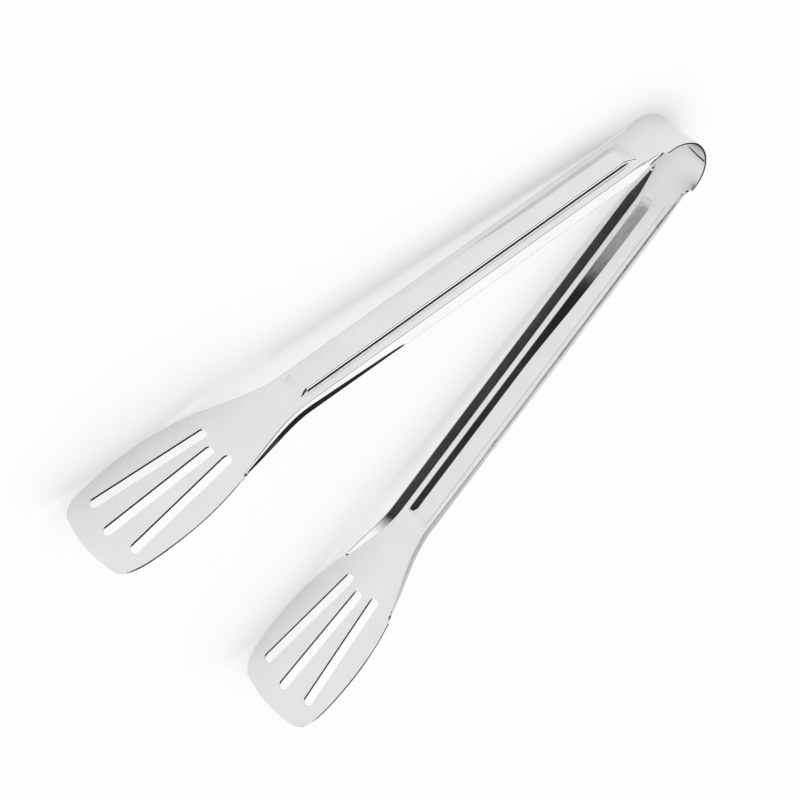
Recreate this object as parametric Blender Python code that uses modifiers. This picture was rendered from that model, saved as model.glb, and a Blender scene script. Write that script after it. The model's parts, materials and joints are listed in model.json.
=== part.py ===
"""Slotted serving tongs: one strip of sheet steel, bent round a springy bow into two slotted arms.

The tongs lie on their side, as they are put down on a table. +X runs from the bow to the heads, +Y to the
left arm, and +Z up, along the width of the strip. Lengths are in metres.
"""

import math

import bmesh
import bpy
from mathutils import Matrix, Vector

# The sheet, and the clearance where the bow's strip is parted from the arms
SHEET = 0.0009
PARTING = 0.0003

# The bow: a plain strip bent round an axis along +Z, a little behind the line that the arms close about
BOW_RADIUS = 0.0136
BOW_SET_BACK = 0.0015
BOW_WIDTH = 0.0214
HALF_OPENING = math.radians(14.0)
BOW_STEPS = 38

# The arms, each measured along its outer face from where the bow ends; the face rises from the strip there
ARM_LENGTH = 0.1905
ARM_WIDTH = 0.0176
FACE_FROM_MIDDLE = 0.0150
NOTCH_DEPTH = 0.0013
NOTCH_RUN = 0.0012

# The flange turned inward along both edges of an arm
FLANGE_DEPTH = 0.0040
FLANGE_SLANT = math.radians(66.0)
FLANGE_RUN_IN = 0.0155
FLANGE_RUN_OUT = 0.0330
FLANGE_PAST_BEND = 0.0145
FULL_SLANT_SHARE = 0.25
FOLD_EASE = 0.0006
EDGE_BAND = 0.0008

# The panel pressed outward along the middle of an arm
PANEL_WIDTH = 0.0100
PANEL_RISE = 0.0022
PANEL_WALL = 0.0003
PANEL_START = 0.0090
PANEL_END = 0.1640
PANEL_RAMP_IN = 0.0080
PANEL_RAMP_OUT = 0.0045

# The head, bent inward from the arm
HEAD_LENGTH = 0.0643
HEAD_WIDTH = 0.0462
HEAD_BEND = math.radians(4.3)
BEND_RUN = 0.0110
NECK_LENGTH = 0.0272
WIDEST_TO_TIP = 0.0280
TIP_WIDTH = 0.0314
TIP_BULGE = 0.0019
NECK_HANDLE_SHARE = 0.27
SHOULDER_HANDLE_SHARE = 0.52
SIDE_HANDLE_SHARE = 0.61
CORNER_HANDLE_SHARE = 0.81

# The slots, fanning out towards the tip
SLOT_WIDTH = 0.0042
SLOT_CORNER = 0.0017
MIDDLE_SLOT_TO_TIP = 0.0080
MIDDLE_SLOT_LENGTH = 0.0482
SIDE_SLOT_TO_TIP = 0.0109
SIDE_SLOT_LENGTH = 0.0478
SLOT_SPREAD_AT_NECK = 0.0080
SLOT_SPREAD_AT_TIP = 0.0140
CUT_OVERRUN = 0.0020

# How finely the curved stretches are divided
RUN_STEPS = 5
RAMP_STEPS = 3
SIDE_STEPS = 14
CORNER_STEPS = 10
SLOT_CORNER_STEPS = 4
MERGE = 0.00005

# The steel's finish
STEEL_COLOUR = (0.80, 0.79, 0.77, 1.0)
STEEL_ROUGHNESS = 0.28
SHARP_ANGLE = math.radians(35.0)


def smooth(share):
    """Rises evenly from 0 to 1, level at both ends."""
    t = min(1.0, max(0.0, share))
    return t * t * (3.0 - 2.0 * t)


def bezier(points, steps):
    """Points along a cubic curve, leaving out its first."""
    a, b, c, d = (Vector(p) for p in points)
    curve = []
    for i in range(1, steps + 1):
        t = i / steps
        u = 1.0 - t
        curve.append(a * u**3 + b * 3 * u * u * t + c * 3 * u * t * t + d * t**3)
    return curve


def eased_corner(before, corner, after):
    """Three points that round a corner between two others."""
    return [before, (before + corner * 2 + after) / 4, after]


# Stations along an arm, measured from the end of the bow
TIP = ARM_LENGTH + HEAD_LENGTH
WIDEST = TIP - WIDEST_TO_TIP
CORNER_END = TIP - TIP_BULGE
NECK_START = ARM_LENGTH - NECK_LENGTH
BEND_START = ARM_LENGTH - BEND_RUN / 2
FLANGE_END = ARM_LENGTH + FLANGE_PAST_BEND
FLANGE_LENGTH = FLANGE_DEPTH / math.sin(FLANGE_SLANT)

# The strip's distance from the hinge axis where an arm starts
STRIP_FROM_MIDDLE = BOW_RADIUS + BOW_SET_BACK * math.sin(HALF_OPENING)


def head_outline():
    """Half the head's outline as (station, half width), from the neck to the end of the tip's corner."""
    neck = (NECK_START, ARM_WIDTH / 2)
    widest = (WIDEST, HEAD_WIDTH / 2)
    corner = (CORNER_END, TIP_WIDTH / 2)
    side_run = WIDEST - NECK_START
    corner_run = CORNER_END - WIDEST
    rise = (widest[1] - corner[1]) * CORNER_HANDLE_SHARE
    lean = 2.0 * TIP_BULGE / corner[1]
    side = bezier((neck,
                   (neck[0] + side_run * NECK_HANDLE_SHARE, neck[1]),
                   (widest[0] - side_run * SHOULDER_HANDLE_SHARE, widest[1]),
                   widest), SIDE_STEPS)
    end = bezier((widest,
                  (widest[0] + corner_run * SIDE_HANDLE_SHARE, widest[1]),
                  (corner[0] - lean * rise, corner[1] + rise),
                  corner), CORNER_STEPS)
    return side + end


def flange_growth(station):
    """How far the flange has grown: 0 where there is none, 1 where it has its full depth."""
    run_in = min(1.0, station / FLANGE_RUN_IN)
    to_end = min(1.0, max(0.0, (FLANGE_END - station) / FLANGE_RUN_OUT))
    return run_in * math.sin(to_end * math.pi / 2)


def arm_half_width(station):
    """Half the width over the folds, from the bow's strip to the neck."""
    if station < NOTCH_RUN:
        return BOW_WIDTH / 2 - NOTCH_DEPTH * station / NOTCH_RUN
    start = BOW_WIDTH / 2 - NOTCH_DEPTH
    return start + (ARM_WIDTH / 2 - start) * smooth((station - NOTCH_RUN) / (FLANGE_RUN_IN - NOTCH_RUN))


def panel_rise(station):
    """Height of the pressed panel over the arm's outer face."""
    ramp_in = smooth((station - PANEL_START) / PANEL_RAMP_IN)
    ramp_out = smooth((PANEL_END - station) / PANEL_RAMP_OUT)
    return PANEL_RISE * ramp_in * ramp_out


def arm_rows():
    """Every station of the arm, with its half width and how far its middle bulges towards the tip."""
    stations = [0.0, NOTCH_RUN]
    stations += [NOTCH_RUN + (FLANGE_RUN_IN - NOTCH_RUN) * i / RUN_STEPS for i in range(1, RUN_STEPS + 1)]
    for start, run in ((PANEL_START, PANEL_RAMP_IN), (PANEL_END - PANEL_RAMP_OUT, PANEL_RAMP_OUT)):
        stations += [start + run * i / RAMP_STEPS for i in range(RAMP_STEPS + 1)]
    stations = sorted(s for s in stations if s < NECK_START)
    stations = [s for s, after in zip(stations, stations[1:] + [NECK_START]) if after - s > SHEET]
    rows = [(s, arm_half_width(s), 0.0) for s in stations + [NECK_START]]
    for point in head_outline():
        past_widest = max(0.0, (point[0] - WIDEST) / (CORNER_END - WIDEST))
        rows.append((point[0], point[1], TIP_BULGE * past_widest**2))
    return rows


def centre_line(station):
    """Place and outward normal of an arm's outer face in the bow's plane, before the arm is swung open."""
    bend_radius = BEND_RUN / HEAD_BEND
    turned = min(BEND_RUN, max(0.0, station - BEND_START)) / bend_radius
    x = min(station, BEND_START) + bend_radius * math.sin(turned)
    face = STRIP_FROM_MIDDLE + (FACE_FROM_MIDDLE - STRIP_FROM_MIDDLE) * smooth(station / FLANGE_RUN_IN)
    y = face - bend_radius * (1.0 - math.cos(turned))
    past = max(0.0, station - BEND_START - BEND_RUN)
    along = Vector((math.cos(turned), -math.sin(turned), 0.0))
    normal = Vector((math.sin(turned), math.cos(turned), 0.0))
    return Vector((x, y, 0.0)) + along * past, normal


def half_section(station, half_width):
    """Half the arm's outer face across one station, as (height along Z, depth below the face)."""
    rise = panel_rise(station)
    growth = flange_growth(station)
    top = Vector((PANEL_WIDTH / 2, -rise))
    foot = Vector((PANEL_WIDTH / 2 + PANEL_WALL, 0.0))
    ease = (foot - top) / 2
    section = [Vector((0.0, -rise))]
    section += eased_corner(top - Vector((ease.length, 0.0)), top, top + ease)
    section.append(foot)
    fold = Vector((half_width - EDGE_BAND * (1.0 - growth), 0.0))
    slant = FLANGE_SLANT * min(1.0, growth / FULL_SLANT_SHARE)
    down = Vector((math.cos(slant), math.sin(slant)))
    width = EDGE_BAND + (FLANGE_LENGTH - EDGE_BAND) * growth
    section += eased_corner(fold - Vector((FOLD_EASE, 0.0)), fold, fold + down * FOLD_EASE)
    section.append(fold + down * width)
    return section


def swung(point, side):
    """A point of an arm swung open about the hinge axis, to the left for side 1, the right for side -1."""
    opened = Matrix.Rotation(HALF_OPENING, 4, 'Z') @ point
    return Vector((opened.x, opened.y * side, opened.z))


def steel(name):
    material = bpy.data.materials.new(name)
    material.use_nodes = True
    shader = material.node_tree.nodes["Principled BSDF"]
    shader.inputs["Base Color"].default_value = STEEL_COLOUR
    shader.inputs["Metallic"].default_value = 1.0
    shader.inputs["Roughness"].default_value = STEEL_ROUGHNESS
    return material


def sheet_object(name, rows, side, collection, frame, material):
    """A sheet whose outer face is given by rows of points from its middle line to its upper edge."""
    mesh = bpy.data.meshes.new(name)
    model = bmesh.new()
    grid = [[model.verts.new(point) for point in row] for row in rows]
    for low, high in zip(grid, grid[1:]):
        for i in range(len(low) - 1):
            corners = (low[i], high[i], high[i + 1], low[i + 1])
            model.faces.new(corners if side < 0 else corners[::-1])
    model.normal_update()
    model.to_mesh(mesh)
    model.free()
    mesh.shade_smooth()
    mesh.set_sharp_from_angle(angle=SHARP_ANGLE)
    mesh.materials.append(material)
    sheet = bpy.data.objects.new(name, mesh)
    collection.objects.link(sheet)
    sheet.parent = frame
    mirror = sheet.modifiers.new("both_edges", 'MIRROR')
    mirror.use_axis = (False, False, True)
    mirror.merge_threshold = MERGE
    shell = sheet.modifiers.new("sheet", 'SOLIDIFY')
    shell.thickness = SHEET
    shell.offset = -1.0
    shell.use_even_offset = True
    return sheet


def arm_point(station, height, depth, side):
    place, normal = centre_line(station)
    return swung(place - normal * depth + Vector((0.0, 0.0, height)), side)


def make_bow(collection, frame, material):
    """The springy bow, a plain strip round its own axis that runs on straight and stops at the arms."""
    start = math.pi / 2 + HALF_OPENING
    end = 1.5 * math.pi - HALF_OPENING
    faces = [arm_point(-PARTING, 0.0, 0.0, 1)]
    for i in range(BOW_STEPS + 1):
        turn = start + (end - start) * i / BOW_STEPS
        faces.append(Vector((math.cos(turn) * BOW_RADIUS - BOW_SET_BACK, math.sin(turn) * BOW_RADIUS, 0.0)))
    faces.append(arm_point(-PARTING, 0.0, 0.0, -1))
    upper_edge = Vector((0.0, 0.0, BOW_WIDTH / 2))
    rows = [[face, face + upper_edge] for face in faces]
    return sheet_object("spring_bow", rows, -1, collection, frame, material)


def slot_cutter(name, start, end, side, collection, frame):
    """A bar with rounded ends through the head, between two (station, height) points of its middle line."""
    ends = [arm_point(station, height, SHEET / 2, side) for station, height in (start, end)]
    mesh = bpy.data.meshes.new(name)
    model = bmesh.new()
    bmesh.ops.create_cube(model, size=1.0)
    along = ends[1] - ends[0]
    size = Vector((along.length, SHEET + 2 * CUT_OVERRUN, SLOT_WIDTH))
    bmesh.ops.scale(model, vec=size, verts=model.verts)
    through = [edge for edge in model.edges
               if abs(edge.verts[0].co.y - edge.verts[1].co.y) > SHEET]
    bmesh.ops.bevel(model, geom=through, offset=SLOT_CORNER, segments=SLOT_CORNER_STEPS, profile=0.5,
                     affect='EDGES')
    _, normal = centre_line(start[0])
    x_axis = along.normalized()
    y_axis = (swung(normal, side) - swung(Vector(), side)).normalized()
    z_axis = x_axis.cross(y_axis)
    turned = Matrix((x_axis, y_axis, z_axis)).transposed().to_4x4()
    bmesh.ops.transform(model, matrix=turned, verts=model.verts)
    model.to_mesh(mesh)
    model.free()
    cutter = bpy.data.objects.new(name, mesh)
    cutter.location = (ends[0] + ends[1]) / 2
    cutter.hide_render = True
    cutter.display_type = 'WIRE'
    collection.objects.link(cutter)
    cutter.parent = frame
    return cutter


def slot_lines():
    """The middle line of each slot in a head, as start and end (station, height)."""
    middle_end = TIP - MIDDLE_SLOT_TO_TIP
    side_end = TIP - SIDE_SLOT_TO_TIP
    lines = [((middle_end - MIDDLE_SLOT_LENGTH, 0.0), (middle_end, 0.0))]
    for sign in (-1.0, 1.0):
        lines.append(((side_end - SIDE_SLOT_LENGTH, sign * SLOT_SPREAD_AT_NECK),
                      (side_end, sign * SLOT_SPREAD_AT_TIP)))
    return lines


def make_arm(name, side, collection, cutters, frame, material):
    """One arm with its pressed panel, its two flanges and its slotted head."""
    rows = []
    for station, half_width, bulge in arm_rows():
        section = half_section(station, half_width)
        row = []
        for height, depth in section:
            bowed = bulge * (1.0 - (height / half_width) ** 2)
            row.append(arm_point(station + bowed, height, depth, side))
        rows.append(row)
    arm = sheet_object(name, rows, side, collection, frame, material)
    for number, (start, end) in enumerate(slot_lines()):
        cutter = slot_cutter(f"{name}_slot_{number}", start, end, side, cutters, frame)
        cut = arm.modifiers.new(f"slot_{number}", 'BOOLEAN')
        cut.object = cutter
        cut.operation = 'DIFFERENCE'
        cut.solver = 'EXACT'
    return arm


def resting_tilt():
    """How far the tongs lean when they lie on the lower edges of their heads and of the bow."""
    widest = arm_point(WIDEST, -HEAD_WIDTH / 2, 0.0, 1)
    return math.atan2(HEAD_WIDTH / 2 - BOW_WIDTH / 2, widest.x + BOW_RADIUS + BOW_SET_BACK)


def lay_down(frame, pieces):
    """Tilts the tongs to rest and sets them on z = 0, their length and width centred on the origin."""
    frame.rotation_euler = (0.0, -resting_tilt(), 0.0)
    bpy.context.view_layer.update()
    graph = bpy.context.evaluated_depsgraph_get()
    corners = []
    for piece in pieces:
        solid = piece.evaluated_get(graph)
        corners += [solid.matrix_world @ vertex.co for vertex in solid.data.vertices]
    low = Vector(min(c[i] for c in corners) for i in range(3))
    high = Vector(max(c[i] for c in corners) for i in range(3))
    frame.location = (-(low.x + high.x) / 2, 0.0, -low.z)
    bpy.context.view_layer.update()


def main():
    for old in list(bpy.data.objects):
        bpy.data.objects.remove(old, do_unlink=True)
    tongs = bpy.data.collections.new("slotted_serving_tongs")
    cutters = bpy.data.collections.new("slot_cutters")
    for collection in (tongs, cutters):
        bpy.context.scene.collection.children.link(collection)
    frame = bpy.data.objects.new("bow_centre", None)
    tongs.objects.link(frame)
    material = steel("brushed_stainless_steel")
    pieces = [make_bow(tongs, frame, material),
              make_arm("left_arm", 1, tongs, cutters, frame, material),
              make_arm("right_arm", -1, tongs, cutters, frame, material)]
    lay_down(frame, pieces)


main()
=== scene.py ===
"""Looks of the slotted serving tongs: the pressed steel sheet in full detail, in a plain white studio.

Lengths are in metres. Shapes are drawn in the bow's own frame, as the part's source does: the origin is on
the hinge axis, +X runs to the heads, +Y to the left arm and +Z up along the width of the strip.
"""

import json
import math

import bmesh
import bpy
from mathutils import Matrix, Vector


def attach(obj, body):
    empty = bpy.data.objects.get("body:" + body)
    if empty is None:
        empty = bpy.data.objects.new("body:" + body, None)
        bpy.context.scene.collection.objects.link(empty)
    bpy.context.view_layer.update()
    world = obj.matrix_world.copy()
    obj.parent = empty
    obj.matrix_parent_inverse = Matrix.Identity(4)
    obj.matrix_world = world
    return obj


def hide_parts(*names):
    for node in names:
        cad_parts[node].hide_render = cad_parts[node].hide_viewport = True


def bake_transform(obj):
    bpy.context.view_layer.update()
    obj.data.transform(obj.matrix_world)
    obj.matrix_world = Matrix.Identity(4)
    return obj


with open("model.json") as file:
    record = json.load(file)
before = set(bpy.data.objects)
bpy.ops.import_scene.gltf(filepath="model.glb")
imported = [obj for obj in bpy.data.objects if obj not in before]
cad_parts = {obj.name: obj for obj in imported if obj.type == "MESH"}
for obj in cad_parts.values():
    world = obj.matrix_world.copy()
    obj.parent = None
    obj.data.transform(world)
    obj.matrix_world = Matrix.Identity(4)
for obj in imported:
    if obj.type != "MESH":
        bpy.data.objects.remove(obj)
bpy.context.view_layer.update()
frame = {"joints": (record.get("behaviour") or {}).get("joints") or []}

# The sheet, and how far its edges are rounded
SHEET = 0.0009
EDGE_ROUND = 0.00016

# The bow: a plain strip bent round an axis along +Z, a little behind the hinge axis. Its sheet ends just
# past the start of each arm.
BOW_RADIUS = 0.0136
BOW_SET_BACK = 0.0015
BOW_WIDTH = 0.0214
HALF_OPENING = math.radians(14.0)
BOW_FLAT_END = 0.0003

# The arms, each measured along its outer face from where the bow ends; the face rises from the strip
ARM_LENGTH = 0.1905
ARM_WIDTH = 0.0176
FACE_FROM_MIDDLE = 0.0150
NOTCH_DEPTH = 0.0013
NOTCH_RUN = 0.0012

# The flange turned inward along both edges of an arm: the upper one is steeper, the lower one opens out
UPPER_DEPTH = 0.0041
UPPER_SLANT = math.radians(72.0)
LOWER_DEPTH = 0.0035
LOWER_SLANT = math.radians(57.0)
FLANGE_RUN_IN = 0.0155
FLANGE_RUN_OUT = 0.0330
UPPER_PAST_BEND = 0.0095
LOWER_PAST_BEND = 0.0045
EDGE_BAND = 0.0008
FULL_SLANT_SHARE = 0.25

# The upper flange's rim curls further in, next to the bow and from past the arm's middle to the neck
CURL = math.radians(12.0)
CURL_AT_BOW = 0.0120
CURL_START = 0.1180
CURL_RUN_IN = 0.0080
CURL_FULL = 0.1620
CURL_LEAST_SHARE = 0.20
CURL_MOST_SHARE = 0.58
UNCURLED_SHARE = 0.50

# The panel pressed outward along the middle of an arm: its upper wall is steep, its lower wall leans. Both
# tops are measured from the arm's middle.
UPPER_TOP = 0.0050
LOWER_TOP = 0.00465
PANEL_RISE = 0.0022
UPPER_WALL_RUN = 0.0003
LOWER_WALL_RUN = 0.00175
PANEL_START = 0.0090
PANEL_END = 0.1640
PANEL_RAMP_IN = 0.0080
PANEL_RAMP_OUT = 0.0045

# The lower wall leans more next to the bow: how far its top is set back there, and where that ends
LOWER_SET_BACK = 0.00215
SET_BACK_END = 0.0950

# The bends across the section: radii at the middle of the sheet, the least run of a bend, and the share
# of the flat beside it that a bend may take
PANEL_TOP_RADIUS = 0.00070
PANEL_FOOT_RADIUS = 0.00085
FOLD_RADIUS = 0.00050
FOLD_RADIUS_AT_BOW = 0.00300
CURL_RADIUS = 0.00300
LEAST_EASE = 0.00012
BEND_SHARE = 0.45

# The head, bent inward from the arm. It is a hair narrower than the solid, whose box has to hold it.
HEAD_LENGTH = 0.0643
HEAD_WIDTH = 0.04618
HEAD_BEND = math.radians(4.3)
BEND_RUN = 0.0110
NECK_LENGTH = 0.0272
WIDEST_TO_TIP = 0.0280
TIP_WIDTH = 0.0314
TIP_BULGE = 0.0019
NECK_HANDLE_SHARE = 0.27
SHOULDER_HANDLE_SHARE = 0.52
SIDE_HANDLE_SHARE = 0.61
CORNER_HANDLE_SHARE = 0.81

# The slots, fanning out towards the tip
SLOT_WIDTH = 0.0042
SLOT_CORNER = 0.0019
MIDDLE_SLOT_TO_TIP = 0.0080
MIDDLE_SLOT_LENGTH = 0.0482
SIDE_SLOT_TO_TIP = 0.0109
SIDE_SLOT_LENGTH = 0.0478
SLOT_SPREAD_AT_NECK = 0.0080
SLOT_SPREAD_AT_TIP = 0.0140
CUT_OVERRUN = 0.0020

# How finely the curved stretches are divided
BOW_STEPS = 96
NOTCH_STEPS = 4
RUN_STEPS = 12
RAMP_STEPS = 12
SET_BACK_STEPS = 20
BEND_STEPS = 10
FLANGE_STEPS = 12
SIDE_STEPS = 36
CORNER_STEPS = 18
EASE_STEPS = 6
CURL_STEPS = 4
PANEL_TOP_STEPS = 3
FLAT_STEPS = 6
SLOT_CORNER_STEPS = 8
EDGE_SEGMENTS = 2

# The least turn between two faces that shows as sharp, and how near an edge on a seam lies to it
SHARP_TURN = math.radians(20.0)
SEAM_REACH = 0.00006

# The steel: two tints that faint clouds mix, how rough it is, and the scale per metre, detail, depth and
# strength of what marks it. The grain is drawn out along X.
TINT_WARM = (0.77, 0.765, 0.755, 1.0)
TINT_PALE = (0.81, 0.806, 0.798, 1.0)
ROUGHNESS = (0.06, 0.10)
CLOUD_SCALE = 60.0
CLOUD_DETAIL = 3.0
GRAIN_SCALE = 900.0
GRAIN_DETAIL = 2.0
GRAIN_STRETCH = (0.06, 1.0, 1.0)
GRAIN_DEPTH = 0.00001
GRAIN_STRENGTH = 0.25
DENT_SCALE = 420.0
DENT_DETAIL = 1.0
DENT_DEPTH = 0.00004
DENT_STRENGTH = 0.35
WAVE_SCALE = 45.0
WAVE_DETAIL = 1.0
WAVE_DEPTH = 0.0002
WAVE_STRENGTH = 0.25

# Where most values of one noise lie, and of two noises added up
NOISE_SPREAD = (0.3, 0.7)
TWO_NOISES_SPREAD = (0.7, 1.3)

# The white floor: the colour that it shows, and how much of it is its own light
FLOOR_SIZE = 8.0
FLOOR_WHITE = 0.99
FLOOR_OWN_LIGHT = 0.35

# The studio's dark ceiling and its three bright openings, as slopes of a direction: run along X or Y over
# rise. Two openings lie aslant: their other limits are along Y plus a share of X.
CEILING_X = (-2.5, 2.5)
CEILING_Y = (-2.4, 2.0)
CEILING_Y_BLUR = 0.5
CEILING_GREY = 0.02
OPENING_X = (-1.4, -0.11)
OPENING_ASLANT = (-0.6, 0.42)
FRONT_OPENING_X = (-1.6, -0.5)
FRONT_OPENING_ASLANT = (-3.3, -1.25)
HEAD_OPENING_X = (0.60, 1.8)
HEAD_OPENING_Y = (-0.25, 0.8)
HEAD_OPENING_BLUR = 0.16
ASLANT_SHARE = 0.5
OPENING_BLUR = 0.06
OPENING_LIGHT = 1.2
LEAST_RISE = 0.0001

# A grey back wall beyond the left arm, from a share of a direction along Y
BACK_WALL_START = 0.88
BACK_WALL_END = 0.96
BACK_WALL_GREY = 0.6

# The light cast on the floor: a soft lamp overhead, and an even light from all round
LAMP_DIRECTION = Vector((0.04, 0.0, 1.0)).normalized()
LAMP_FOCUS = 9.0
LAMP_SHARE = 0.6

# The camera, placed in the bow's frame
CAMERA_TARGET = Vector((0.12892, -0.00669, 0.0))
CAMERA_DISTANCE = 1.09485
CAMERA_AZIMUTH = math.radians(-87.1438)
CAMERA_ELEVATION = math.radians(37.8926)
CAMERA_ROLL = math.radians(-133.694)
CAMERA_LENS_MM = 135.0
CAMERA_SENSOR_MM = 36.0

# Stations along an arm, measured from the end of the bow
TIP = ARM_LENGTH + HEAD_LENGTH
WIDEST = TIP - WIDEST_TO_TIP
CORNER_END = TIP - TIP_BULGE
NECK_START = ARM_LENGTH - NECK_LENGTH
BEND_START = ARM_LENGTH - BEND_RUN / 2
UPPER_END = ARM_LENGTH + UPPER_PAST_BEND
LOWER_END = ARM_LENGTH + LOWER_PAST_BEND

# What differs between the two halves of a section: the panel's top and wall, then the flange
UPPER_HALF = (UPPER_TOP, UPPER_WALL_RUN, UPPER_DEPTH, UPPER_SLANT, UPPER_END)
LOWER_HALF = (LOWER_TOP, LOWER_WALL_RUN, LOWER_DEPTH, LOWER_SLANT, LOWER_END)

# The strip's distance from the hinge axis where an arm starts
STRIP_FROM_MIDDLE = BOW_RADIUS + BOW_SET_BACK * math.sin(HALF_OPENING)


def bow_frame():
    """The matrix from the bow's frame to the row's frame, from the hinge between the arms."""
    hinge = frame["joints"][0]
    up = -Vector(hinge["axis"]).normalized()
    left = Vector((0.0, 1.0, 0.0))
    ahead = left.cross(up)
    turned = Matrix((ahead, left, up)).transposed().to_4x4()
    return Matrix.Translation(Vector(hinge["pos_m"])) @ turned


BOW_FRAME = bow_frame()


def smooth(share):
    """Rises evenly from 0 to 1, level at both ends."""
    t = min(1.0, max(0.0, share))
    return t * t * (3.0 - 2.0 * t)


def bezier(points, steps):
    """Points along a cubic curve, leaving out its first."""
    a, b, c, d = (Vector(p) for p in points)
    curve = []
    for i in range(1, steps + 1):
        t = i / steps
        u = 1.0 - t
        curve.append(a * u**3 + b * 3 * u * u * t + c * 3 * u * t * t + d * t**3)
    return curve


def head_outline():
    """Half the head's outline as (station, half width), from the neck to the end of its corner."""
    neck = (NECK_START, ARM_WIDTH / 2)
    widest = (WIDEST, HEAD_WIDTH / 2)
    corner = (CORNER_END, TIP_WIDTH / 2)
    side_run = WIDEST - NECK_START
    corner_run = CORNER_END - WIDEST
    rise = (widest[1] - corner[1]) * CORNER_HANDLE_SHARE
    lean = 2.0 * TIP_BULGE / corner[1]
    side = bezier((neck,
                   (neck[0] + side_run * NECK_HANDLE_SHARE, neck[1]),
                   (widest[0] - side_run * SHOULDER_HANDLE_SHARE, widest[1]),
                   widest), SIDE_STEPS)
    end = bezier((widest,
                  (widest[0] + corner_run * SIDE_HANDLE_SHARE, widest[1]),
                  (corner[0] - lean * rise, corner[1] + rise),
                  corner), CORNER_STEPS)
    return side + end


def flange_growth(station, end):
    """How far a flange that stops at end has grown: 0 where there is none, 1 at its full depth."""
    run_in = min(1.0, station / FLANGE_RUN_IN)
    to_end = min(1.0, max(0.0, (end - station) / FLANGE_RUN_OUT))
    return run_in * math.sin(to_end * math.pi / 2)


def upper_half_width(station):
    """Distance from the arm's middle to its upper fold, which starts with a notch beside the bow."""
    start = BOW_WIDTH / 2 - NOTCH_DEPTH * smooth((station - BOW_FLAT_END) / (NOTCH_RUN - BOW_FLAT_END))
    return start + (ARM_WIDTH / 2 - start) * smooth((station - NOTCH_RUN) / (FLANGE_RUN_IN - NOTCH_RUN))


def lower_half_width(station):
    """Distance from the arm's middle to its lower fold, which runs on from the bow without a notch."""
    share = min(1.0, (station - BOW_FLAT_END) / (FLANGE_RUN_IN - BOW_FLAT_END))
    return BOW_WIDTH / 2 + (ARM_WIDTH / 2 - BOW_WIDTH / 2) * share


def curl_share(station):
    """The share of the upper flange, from its rim, that is curled."""
    beside_bow = (CURL_AT_BOW - station) / CURL_AT_BOW
    along_arm = (station - CURL_START) / (CURL_FULL - CURL_START)
    share = min(1.0, max(0.0, beside_bow, along_arm))
    return CURL_LEAST_SHARE + (CURL_MOST_SHARE - CURL_LEAST_SHARE) * share


def curl_turn(station):
    """How far the curled share is turned further in."""
    beside_bow = (CURL_AT_BOW - station) / CURL_RUN_IN
    along_arm = (station - CURL_START) / CURL_RUN_IN
    return CURL * smooth(max(beside_bow, along_arm))


def panel_rise(station):
    """Height of the pressed panel over the arm's outer face."""
    ramp_in = smooth((station - PANEL_START) / PANEL_RAMP_IN)
    ramp_out = smooth((PANEL_END - station) / PANEL_RAMP_OUT)
    return PANEL_RISE * ramp_in * ramp_out


def set_back(station):
    """How far the top of the panel's lower wall is set back towards the middle."""
    share = smooth((station - PANEL_START) / (SET_BACK_END - PANEL_START))
    return LOWER_SET_BACK * (1.0 - share**3)


def stretch(start, end, steps):
    return [start + (end - start) * i / steps for i in range(steps + 1)]


def arm_rows():
    """Every station of the arm, with its two half widths and how far its middle bulges to the tip.

    Stations nearer to the one before than the rounding of an edge are left out.
    """
    stations = stretch(BOW_FLAT_END, NOTCH_RUN, NOTCH_STEPS)
    stations += stretch(NOTCH_RUN, FLANGE_RUN_IN, RUN_STEPS)
    stations += stretch(PANEL_START, PANEL_START + PANEL_RAMP_IN, RAMP_STEPS)
    stations += stretch(PANEL_START + PANEL_RAMP_IN, SET_BACK_END, SET_BACK_STEPS)
    stations += stretch(CURL_START, CURL_START + CURL_RUN_IN, CURL_STEPS)
    panel_out = stretch(PANEL_END - PANEL_RAMP_OUT, PANEL_END, RAMP_STEPS)
    stations += [s for s in panel_out if s < NECK_START]
    rows = [(s, upper_half_width(s), lower_half_width(s), 0.0) for s in stations]
    rows.append((NECK_START, ARM_WIDTH / 2, ARM_WIDTH / 2, 0.0))
    in_head = panel_out + stretch(BEND_START, BEND_START + BEND_RUN, BEND_STEPS)
    for end in (UPPER_END, LOWER_END):
        in_head += stretch(end - FLANGE_RUN_OUT * FULL_SLANT_SHARE, end, FLANGE_STEPS)
    head = head_outline()
    marks = [Vector((NECK_START, ARM_WIDTH / 2))] + head
    for station in in_head:
        for before, after in zip(marks, marks[1:]):
            if before[0] < station < after[0]:
                share = (station - before[0]) / (after[0] - before[0])
                half_width = before[1] + (after[1] - before[1]) * share
                rows.append((station, half_width, half_width, 0.0))
    for point in head:
        past_widest = max(0.0, (point[0] - WIDEST) / (CORNER_END - WIDEST))
        rows.append((point[0], point[1], point[1], TIP_BULGE * past_widest**2))
    rows.sort()
    kept = [rows[0]]
    for row in rows[1:-1]:
        if row[0] - kept[-1][0] > EDGE_ROUND:
            kept.append(row)
    return kept + [rows[-1]]


def centre_line(station):
    """Place and outward normal of an arm's outer face in the bow's plane, before the arm is swung open."""
    bend_radius = BEND_RUN / HEAD_BEND
    turned = min(BEND_RUN, max(0.0, station - BEND_START)) / bend_radius
    x = min(station, BEND_START) + bend_radius * math.sin(turned)
    face = STRIP_FROM_MIDDLE + (FACE_FROM_MIDDLE - STRIP_FROM_MIDDLE) * smooth(station / FLANGE_RUN_IN)
    y = face - bend_radius * (1.0 - math.cos(turned))
    past = max(0.0, station - BEND_START - BEND_RUN)
    along = Vector((math.cos(turned), -math.sin(turned), 0.0))
    normal = Vector((math.sin(turned), math.cos(turned), 0.0))
    return Vector((x, y, 0.0)) + along * past, normal


def swung(point, side):
    """A point of an arm swung open about the hinge: to the left for side 1, to the right for -1."""
    opened = Matrix.Rotation(HALF_OPENING, 4, 'Z') @ point
    return Vector((opened.x, opened.y * side, opened.z))


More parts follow.
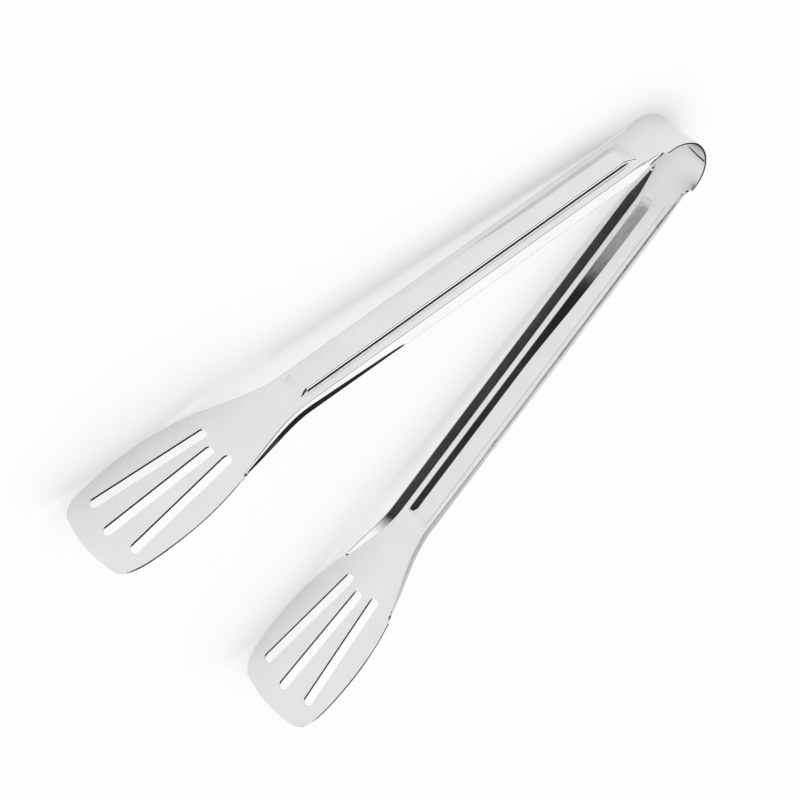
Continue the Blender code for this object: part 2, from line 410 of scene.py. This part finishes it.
def arm_point(station, height, depth, side):
    place, normal = centre_line(station)
    return swung(place - normal * depth + Vector((0.0, 0.0, height)), side)


def set_inward(corners, distance):
    """The line through corners of a section, moved a distance towards the inner side of the sheet."""
    normals = []
    for before, after in zip(corners, corners[1:]):
        along = (after - before).normalized()
        normals.append(Vector((-along.y, along.x)))
    moved = [corners[0] + normals[0] * distance]
    for corner, before, after in zip(corners[1:], normals, normals[1:]):
        moved.append(corner + (before + after) * (distance / (1.0 + before.dot(after))))
    moved.append(corners[-1] + normals[-1] * distance)
    return moved


def eased(corners, radii):
    """The same line with every inner corner turned into a round bend of its own radius."""
    line = [corners[0]]
    for before, corner, after, radius in zip(corners, corners[1:], corners[2:], radii):
        back = (before - corner).normalized()
        ahead = (after - corner).normalized()
        turn = math.pi - back.angle(ahead)
        room = min((before - corner).length, (after - corner).length) * BEND_SHARE
        run = min(room, max(LEAST_EASE, radius * math.tan(turn / 2)))
        for i in range(EASE_STEPS + 1):
            t = i / EASE_STEPS
            u = 1.0 - t
            weight = u * u + 2.0 * math.cos(turn / 2) * t * u + t * t
            line.append(corner + (back * u * u + ahead * t * t) * (run / weight))
    line.append(corners[-1])
    return line


def divided(line, first, steps):
    """The same line with one of its stretches, named by its first point, divided into even steps."""
    before, after = line[first], line[first + 1]
    extra = [before + (after - before) * i / steps for i in range(1, steps)]
    return line[:first + 1] + extra + line[first + 1:]


def half_section(station, half_width, half, is_upper):
    """Half the sheet's middle across one station, from the panel's middle to the rim of one flange."""
    top, wall_run, depth, full_slant, end = half
    rise = panel_rise(station)
    foot = top + wall_run
    growth = flange_growth(station, end)
    slant = full_slant * smooth(growth / FULL_SLANT_SHARE)
    fold = Vector((half_width - EDGE_BAND * (1.0 - growth), 0.0))
    down = Vector((math.cos(slant), math.sin(slant)))
    width = EDGE_BAND + (depth / math.sin(full_slant) - EDGE_BAND) * growth
    if is_upper:
        share = curl_share(station)
        bend = curl_turn(station) * smooth(growth / FULL_SLANT_SHARE)
    else:
        top -= set_back(station)
        share = UNCURLED_SHARE
        bend = 0.0
    further = Vector((math.cos(slant + bend), math.sin(slant + bend)))
    knee = fold + down * width * (1.0 - share)
    corners = [Vector((0.0, -rise)),
               Vector((top, -rise)),
               Vector((foot, 0.0)),
               fold,
               knee,
               knee + further * width * share]
    fold_radius = FOLD_RADIUS_AT_BOW + (FOLD_RADIUS - FOLD_RADIUS_AT_BOW) * smooth(station / FLANGE_RUN_IN)
    radii = (PANEL_TOP_RADIUS, PANEL_FOOT_RADIUS, fold_radius, CURL_RADIUS)
    line = eased(set_inward(corners, SHEET / 2), radii)
    end_of_foot = 2 * (EASE_STEPS + 1)
    line = divided(line, end_of_foot, FLAT_STEPS)
    return divided(line, 0, PANEL_TOP_STEPS)


def sheet_section(station, upper, lower):
    """The middle of the sheet across one station, as (height along Z, depth below the outer face)."""
    below = half_section(station, lower, LOWER_HALF, False)
    above = half_section(station, upper, UPPER_HALF, True)
    return [Vector((-p.x, p.y)) for p in reversed(below[1:])] + above


def arm_grid(side):
    rows = []
    for station, upper, lower, bulge in arm_rows():
        row = []
        for height, depth in sheet_section(station, upper, lower):
            bowed = bulge * (1.0 - (height / upper)**2)
            row.append(arm_point(station + bowed, height, depth, side))
        rows.append(row)
    return rows


def bow_grid():
    """Rows across the bow's strip, from the right arm round to the left, straight next to each arm."""
    radius = BOW_RADIUS - SHEET / 2
    heights = (-BOW_WIDTH / 2, 0.0, BOW_WIDTH / 2)
    rows = [[arm_point(BOW_FLAT_END, height, SHEET / 2, -1) for height in heights]]
    start = 1.5 * math.pi - HALF_OPENING
    end = math.pi / 2 + HALF_OPENING
    for turn in stretch(start, end, BOW_STEPS):
        face = Vector((math.cos(turn) * radius - BOW_SET_BACK, math.sin(turn) * radius, 0.0))
        rows.append([face + Vector((0.0, 0.0, height)) for height in heights])
    rows.append([arm_point(BOW_FLAT_END, height, SHEET / 2, 1) for height in heights])
    return rows


def applied(obj):
    """Gives the object the mesh that its modifiers make, and takes them off."""
    graph = bpy.context.evaluated_depsgraph_get()
    mesh = bpy.data.meshes.new_from_object(obj.evaluated_get(graph))
    obj.modifiers.clear()
    obj.data = mesh


def on_seam(edge):
    """True for an edge across the end of a sheet, where it meets the next one."""
    for side in (1, -1):
        start = arm_point(BOW_FLAT_END, 0.0, SHEET / 2, side)
        along = swung(Vector((1.0, 0.0, 0.0)), side)
        near = all((v.co - start).length < BOW_WIDTH for v in edge.verts)
        if near and all(abs((v.co - start).dot(along)) < SEAM_REACH for v in edge.verts):
            return True
    return False


def round_rim(obj):
    """Rounds the sheet's free edges, and leaves the ends where two sheets meet as they are."""
    model = bmesh.new()
    model.from_mesh(obj.data)
    rim = []
    for edge in model.edges:
        first, second = edge.link_faces
        if first.material_index != second.material_index and not on_seam(edge):
            rim.append(edge)
    bmesh.ops.bevel(model, geom=rim, offset=EDGE_ROUND, segments=EDGE_SEGMENTS, profile=0.5, affect='EDGES',
                    clamp_overlap=False)
    for face in model.faces:
        face.material_index = 0
    model.to_mesh(obj.data)
    model.free()


def sheet_object(name, rows, outward):
    """A sheet whose middle is given by rows of points; outward is 1 where they face the outer side."""
    mesh = bpy.data.meshes.new(name)
    model = bmesh.new()
    grid = [[model.verts.new(point) for point in row] for row in rows]
    for low, high in zip(grid, grid[1:]):
        for i in range(len(low) - 1):
            corners = (low[i], high[i], high[i + 1], low[i + 1])
            model.faces.new(corners if outward > 0 else corners[::-1])
    model.normal_update()
    model.to_mesh(mesh)
    model.free()
    # Two empty slots, so that round_rim can tell the rim's faces from the others
    mesh.materials.append(None)
    mesh.materials.append(None)
    sheet = bpy.data.objects.new(name, mesh)
    bpy.context.scene.collection.objects.link(sheet)
    shell = sheet.modifiers.new("thickness", 'SOLIDIFY')
    shell.thickness = SHEET
    shell.offset = 0.0
    shell.use_even_offset = True
    shell.material_offset_rim = 1
    applied(sheet)
    round_rim(sheet)
    return sheet


def slot_lines():
    """The middle line of each slot in a head, as start and end (station, height)."""
    middle_end = TIP - MIDDLE_SLOT_TO_TIP
    side_end = TIP - SIDE_SLOT_TO_TIP
    lines = [((middle_end - MIDDLE_SLOT_LENGTH, 0.0), (middle_end, 0.0))]
    for sign in (-1.0, 1.0):
        lines.append(((side_end - SIDE_SLOT_LENGTH, sign * SLOT_SPREAD_AT_NECK),
                      (side_end, sign * SLOT_SPREAD_AT_TIP)))
    return lines


def slot_outline(length, width, corner):
    """Points round a slot about its middle, with rounded corners."""
    points = []
    for quarter in range(4):
        across = 1.0 if quarter in (0, 3) else -1.0
        up = 1.0 if quarter < 2 else -1.0
        centre = Vector((across * (length / 2 - corner), up * (width / 2 - corner)))
        for i in range(SLOT_CORNER_STEPS + 1):
            turn = (quarter + i / SLOT_CORNER_STEPS) * math.pi / 2
            points.append(centre + Vector((math.cos(turn), math.sin(turn))) * corner)
    return points


def cut_slot(sheet, start, end, side):
    """Cuts one slot with eased rims through the head, between two (station, height) points."""
    ends = [arm_point(station, height, SHEET / 2, side) for station, height in (start, end)]
    _, normal = centre_line(start[0])
    x_axis = (ends[1] - ends[0]).normalized()
    y_axis = (swung(normal, side) - swung(Vector(), side)).normalized()
    z_axis = x_axis.cross(y_axis)
    turned = Matrix((x_axis, z_axis, y_axis)).transposed()
    middle = (ends[0] + ends[1]) / 2
    length = (ends[1] - ends[0]).length
    half = SHEET / 2
    layers = [(-half - CUT_OVERRUN, CUT_OVERRUN + EDGE_ROUND), (-half + EDGE_ROUND, 0.0)]
    layers += [(-level, spread) for level, spread in reversed(layers)]
    model = bmesh.new()
    loops = []
    for level, spread in layers:
        outline = slot_outline(length + 2 * spread, SLOT_WIDTH + 2 * spread, SLOT_CORNER + spread)
        loops.append([model.verts.new(middle + turned @ Vector((p.x, p.y, level))) for p in outline])
    count = len(loops[0])
    for low, high in zip(loops, loops[1:]):
        for i in range(count):
            model.faces.new((low[i], low[(i + 1) % count], high[(i + 1) % count], high[i]))
    model.faces.new(loops[0])
    model.faces.new(loops[-1])
    bmesh.ops.recalc_face_normals(model, faces=model.faces)
    mesh = bpy.data.meshes.new("slot_cutter")
    model.to_mesh(mesh)
    model.free()
    cutter = bpy.data.objects.new("slot_cutter", mesh)
    bpy.context.scene.collection.objects.link(cutter)
    cut = sheet.modifiers.new("slot", 'BOOLEAN')
    cut.object = cutter
    cut.operation = 'DIFFERENCE'
    cut.solver = 'EXACT'
    applied(sheet)
    bpy.data.objects.remove(cutter)


def mark_sharp(mesh):
    """Marks rims, and edges where two sheets meet, as sharp, so that flat stretches stay even."""
    model = bmesh.new()
    model.from_mesh(mesh)
    for edge in model.edges:
        turn = edge.calc_face_angle(math.pi)
        if turn > SHARP_TURN or on_seam(edge):
            edge.smooth = False
    model.to_mesh(mesh)
    model.free()


def finish_sheet(sheet, material):
    """Even shading over flat stretches, the steel's material, and the sheet's place in the row's frame."""
    sheet.data.shade_smooth()
    mark_sharp(sheet.data)
    even = sheet.modifiers.new("even_shading", 'WEIGHTED_NORMAL')
    even.keep_sharp = True
    applied(sheet)
    sheet.data.transform(BOW_FRAME)
    sheet.data.materials.clear()
    sheet.data.materials.append(material)


def make_arm(name, side, body, node, material):
    arm = sheet_object(name, arm_grid(side), -side)
    for start, end in slot_lines():
        cut_slot(arm, start, end, side)
    finish_sheet(arm, material)
    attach(arm, body)
    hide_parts(node)


def make_bow(material):
    bow = sheet_object("bow_sheet", bow_grid(), 1)
    finish_sheet(bow, material)
    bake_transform(bow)
    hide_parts("spring_bow")


class Nodes:
    """A short way to add and link the nodes of one tree."""

    def __init__(self, tree):
        self.tree = tree

    def add(self, kind, **values):
        node = self.tree.nodes.new(kind)
        for key, value in values.items():
            setattr(node, key, value)
        return node

    def link(self, source, target):
        self.tree.links.new(source, target)

    def noise(self, coordinates, scale, detail, stretched=(1.0, 1.0, 1.0)):
        """Noise of a scale per metre, over coordinates stretched along each axis."""
        spread = self.add('ShaderNodeMapping')
        spread.inputs["Scale"].default_value = stretched
        self.link(coordinates, spread.inputs["Vector"])
        noise = self.add('ShaderNodeTexNoise')
        noise.inputs["Scale"].default_value = scale
        noise.inputs["Detail"].default_value = detail
        self.link(spread.outputs["Vector"], noise.inputs["Vector"])
        return noise.outputs["Fac"]

    def ranged(self, value, low, high, spread=NOISE_SPREAD):
        """A value that lies in a spread, made to run from low to high."""
        ranged = self.add('ShaderNodeMapRange')
        numbers = (("From Min", spread[0]), ("From Max", spread[1]), ("To Min", low), ("To Max", high))
        for key, number in numbers:
            ranged.inputs[key].default_value = number
        self.link(value, ranged.inputs["Value"])
        return ranged.outputs["Result"]

    def math(self, operation, first, second):
        node = self.add('ShaderNodeMath', operation=operation)
        for socket, value in zip(node.inputs, (first, second)):
            if isinstance(value, float):
                socket.default_value = value
            else:
                self.link(value, socket)
        return node.outputs[0]

    def steady(self, value):
        node = self.add('ShaderNodeValue')
        node.outputs[0].default_value = value
        return node.outputs[0]

    def mixed(self, share, first, second):
        """The first value where share is 0 and the second where it is 1."""
        node = self.add('ShaderNodeMix', data_type='FLOAT')
        for name, value in (("Factor", share), ("A", first), ("B", second)):
            self.link(value, node.inputs[name])
        return node.outputs["Result"]

    def bump(self, height, distance, strength, normal=None):
        node = self.add('ShaderNodeBump')
        node.inputs["Distance"].default_value = distance
        node.inputs["Strength"].default_value = strength
        self.link(height, node.inputs["Height"])
        if normal is not None:
            self.link(normal, node.inputs["Normal"])
        return node.outputs["Normal"]


def steel_material():
    """Polished stainless steel: faint grain, shallow waves and dents, and a trace of cloudiness."""
    material = bpy.data.materials.new("satin_stainless_steel")
    material.use_nodes = True
    nodes = Nodes(material.node_tree)
    shader = material.node_tree.nodes["Principled BSDF"]
    shader.inputs["Metallic"].default_value = 1.0
    place = nodes.add('ShaderNodeTexCoord').outputs["Object"]
    cloud = nodes.noise(place, CLOUD_SCALE, CLOUD_DETAIL)
    grain = nodes.noise(place, GRAIN_SCALE, GRAIN_DETAIL, GRAIN_STRETCH)
    dents = nodes.noise(place, DENT_SCALE, DENT_DETAIL)
    waves = nodes.noise(place, WAVE_SCALE, WAVE_DETAIL)
    tint = nodes.add('ShaderNodeMix', data_type='RGBA')
    tint.inputs["A"].default_value = TINT_WARM
    tint.inputs["B"].default_value = TINT_PALE
    nodes.link(nodes.ranged(cloud, 0.0, 1.0), tint.inputs["Factor"])
    nodes.link(tint.outputs["Result"], shader.inputs["Base Color"])
    worn = nodes.ranged(nodes.math('ADD', cloud, grain), *ROUGHNESS, TWO_NOISES_SPREAD)
    nodes.link(worn, shader.inputs["Roughness"])
    normal = nodes.bump(waves, WAVE_DEPTH, WAVE_STRENGTH)
    normal = nodes.bump(dents, DENT_DEPTH, DENT_STRENGTH, normal)
    normal = nodes.bump(grain, GRAIN_DEPTH, GRAIN_STRENGTH, normal)
    nodes.link(normal, shader.inputs["Normal"])
    return material


def make_camera():
    """The camera at the photograph's angle, in the bow's frame."""
    back = Vector((math.cos(CAMERA_ELEVATION) * math.cos(CAMERA_AZIMUTH),
                   math.cos(CAMERA_ELEVATION) * math.sin(CAMERA_AZIMUTH),
                   math.sin(CAMERA_ELEVATION)))
    right = Vector((0.0, 0.0, 1.0)).cross(back).normalized()
    up = back.cross(right)
    upright = Matrix((right, up, back)).transposed().to_4x4()
    place = Matrix.Translation(CAMERA_TARGET + back * CAMERA_DISTANCE)
    data = bpy.data.cameras.new("camera")
    data.sensor_width = CAMERA_SENSOR_MM
    data.lens = CAMERA_LENS_MM
    camera = bpy.data.objects.new("camera", data)
    bpy.context.scene.collection.objects.link(camera)
    camera.matrix_world = BOW_FRAME @ place @ upright @ Matrix.Rotation(-CAMERA_ROLL, 4, 'Z')
    bpy.context.scene.camera = camera


def make_floor():
    """A white floor that keeps the tongs' shadow. Its own light is seen by the camera and in the steel."""
    material = bpy.data.materials.new("white_floor")
    material.use_nodes = True
    tree = material.node_tree
    tree.nodes.remove(tree.nodes["Principled BSDF"])
    nodes = Nodes(tree)
    diffuse = nodes.add('ShaderNodeBsdfDiffuse')
    diffuse.inputs["Color"].default_value = [FLOOR_WHITE - FLOOR_OWN_LIGHT] * 3 + [1.0]
    glow = nodes.add('ShaderNodeEmission')
    glow.inputs["Strength"].default_value = FLOOR_OWN_LIGHT
    path = nodes.add('ShaderNodeLightPath')
    seen = nodes.math('ADD', path.outputs["Is Camera Ray"], path.outputs["Is Glossy Ray"])
    seen = nodes.math('ADD', seen, path.outputs["Is Transmission Ray"])
    dark = nodes.add('ShaderNodeBsdfTransparent')
    dark.inputs["Color"].default_value = (0.0, 0.0, 0.0, 1.0)
    shown = nodes.add('ShaderNodeMixShader')
    nodes.link(seen, shown.inputs[0])
    nodes.link(dark.outputs[0], shown.inputs[1])
    nodes.link(glow.outputs[0], shown.inputs[2])
    total = nodes.add('ShaderNodeAddShader')
    nodes.link(diffuse.outputs[0], total.inputs[0])
    nodes.link(shown.outputs[0], total.inputs[1])
    nodes.link(total.outputs[0], tree.nodes["Material Output"].inputs["Surface"])
    mesh = bpy.data.meshes.new("floor")
    half = FLOOR_SIZE / 2
    corners = [(-half, -half, 0.0), (half, -half, 0.0), (half, half, 0.0), (-half, half, 0.0)]
    mesh.from_pydata(corners, [], [(0, 1, 2, 3)])
    mesh.materials.append(material)
    floor = bpy.data.objects.new("floor", mesh)
    bpy.context.scene.collection.objects.link(floor)


def inside(nodes, value, limits, blur):
    """1 between two limits and 0 outside them, with soft ends."""
    low = nodes.ranged(value, 0.0, 1.0, (limits[0] - blur, limits[0] + blur))
    high = nodes.ranged(value, 1.0, 0.0, (limits[1] - blur, limits[1] + blur))
    return nodes.math('MULTIPLY', low, high)


def patch(nodes, along_x, limits_x, along_y, limits_y, blur_x=OPENING_BLUR, blur_y=OPENING_BLUR):
    """1 in the patch of the ceiling that lies between both pairs of limits, and 0 outside it."""
    return nodes.math('MULTIPLY', inside(nodes, along_x, limits_x, blur_x),
                      inside(nodes, along_y, limits_y, blur_y))


def reflected_studio(nodes, direction):
    """What the steel reflects: a dark ceiling with bright openings, white surroundings and a grey wall."""
    split = nodes.add('ShaderNodeSeparateXYZ')
    nodes.link(direction, split.inputs[0])
    rise = nodes.math('MAXIMUM', split.outputs["Z"], LEAST_RISE)
    slope_x = nodes.math('DIVIDE', split.outputs["X"], rise)
    slope_y = nodes.math('DIVIDE', split.outputs["Y"], rise)
    aslant = nodes.math('ADD', slope_y, nodes.math('MULTIPLY', slope_x, ASLANT_SHARE))
    ceiling = patch(nodes, slope_x, CEILING_X, slope_y, CEILING_Y, blur_y=CEILING_Y_BLUR)
    opening = patch(nodes, slope_x, OPENING_X, aslant, OPENING_ASLANT)
    front = patch(nodes, slope_x, FRONT_OPENING_X, aslant, FRONT_OPENING_ASLANT)
    beyond_heads = patch(nodes, slope_x, HEAD_OPENING_X, slope_y, HEAD_OPENING_Y, blur_x=HEAD_OPENING_BLUR)
    opening = nodes.math('MAXIMUM', nodes.math('MAXIMUM', opening, front), beyond_heads)
    covered = nodes.math('MULTIPLY', ceiling, nodes.math('SUBTRACT', 1.0, opening))
    reflected = nodes.ranged(covered, 1.0, CEILING_GREY, (0.0, 1.0))
    reflected = nodes.math('ADD', reflected, nodes.math('MULTIPLY', opening, OPENING_LIGHT - 1.0))
    wall = nodes.ranged(split.outputs["Y"], 1.0, BACK_WALL_GREY, (BACK_WALL_START, BACK_WALL_END))
    return nodes.math('MULTIPLY', reflected, wall)


def cast_light(nodes, direction):
    """The light that falls on the floor: a soft lamp overhead, and an even light from all round."""
    towards = nodes.add('ShaderNodeVectorMath', operation='DOT_PRODUCT')
    nodes.link(direction, towards.inputs[0])
    towards.inputs[1].default_value = LAMP_DIRECTION
    lamp = nodes.math('POWER', nodes.math('MAXIMUM', towards.outputs["Value"], 0.0), LAMP_FOCUS)
    # Of a lamp with this focus, the floor gets 2 / (focus + 2), and less where it comes aslant
    lamp_strength = LAMP_SHARE * (LAMP_FOCUS + 2.0) / 2.0 / LAMP_DIRECTION.z
    lamp = nodes.math('MULTIPLY', lamp, lamp_strength)
    return nodes.math('ADD', lamp, 1.0 - LAMP_SHARE)


def make_world():
    """Light on the floor from a soft lamp, a studio to reflect in the steel, and white for the camera."""
    world = bpy.data.worlds.new("studio")
    world.use_nodes = True
    bpy.context.scene.world = world
    nodes = Nodes(world.node_tree)
    direction = nodes.add('ShaderNodeTexCoord').outputs["Generated"]
    path = nodes.add('ShaderNodeLightPath')
    reflected = reflected_studio(nodes, direction)
    # The steel throws none of that onto the floor
    onto_floor = nodes.math('MINIMUM', path.outputs["Diffuse Depth"], 1.0)
    reflected = nodes.math('MULTIPLY', reflected, nodes.math('SUBTRACT', 1.0, onto_floor))
    seen = nodes.math('MAXIMUM', path.outputs["Is Camera Ray"], path.outputs["Is Transmission Ray"])
    plain = nodes.mixed(seen, cast_light(nodes, direction), nodes.steady(1.0))
    light = nodes.mixed(path.outputs["Is Glossy Ray"], plain, reflected)
    background = world.node_tree.nodes["Background"]
    background.inputs["Color"].default_value = (1.0, 1.0, 1.0, 1.0)
    nodes.link(light, background.inputs["Strength"])


def main():
    steel = steel_material()
    make_arm("right_arm_sheet", -1, "right_side", "right_arm", steel)
    make_arm("left_arm_sheet", 1, "left_side", "left_arm", steel)
    make_bow(steel)
    make_floor()
    make_world()
    make_camera()
    bpy.context.scene.view_settings.view_transform = 'Standard'


main()
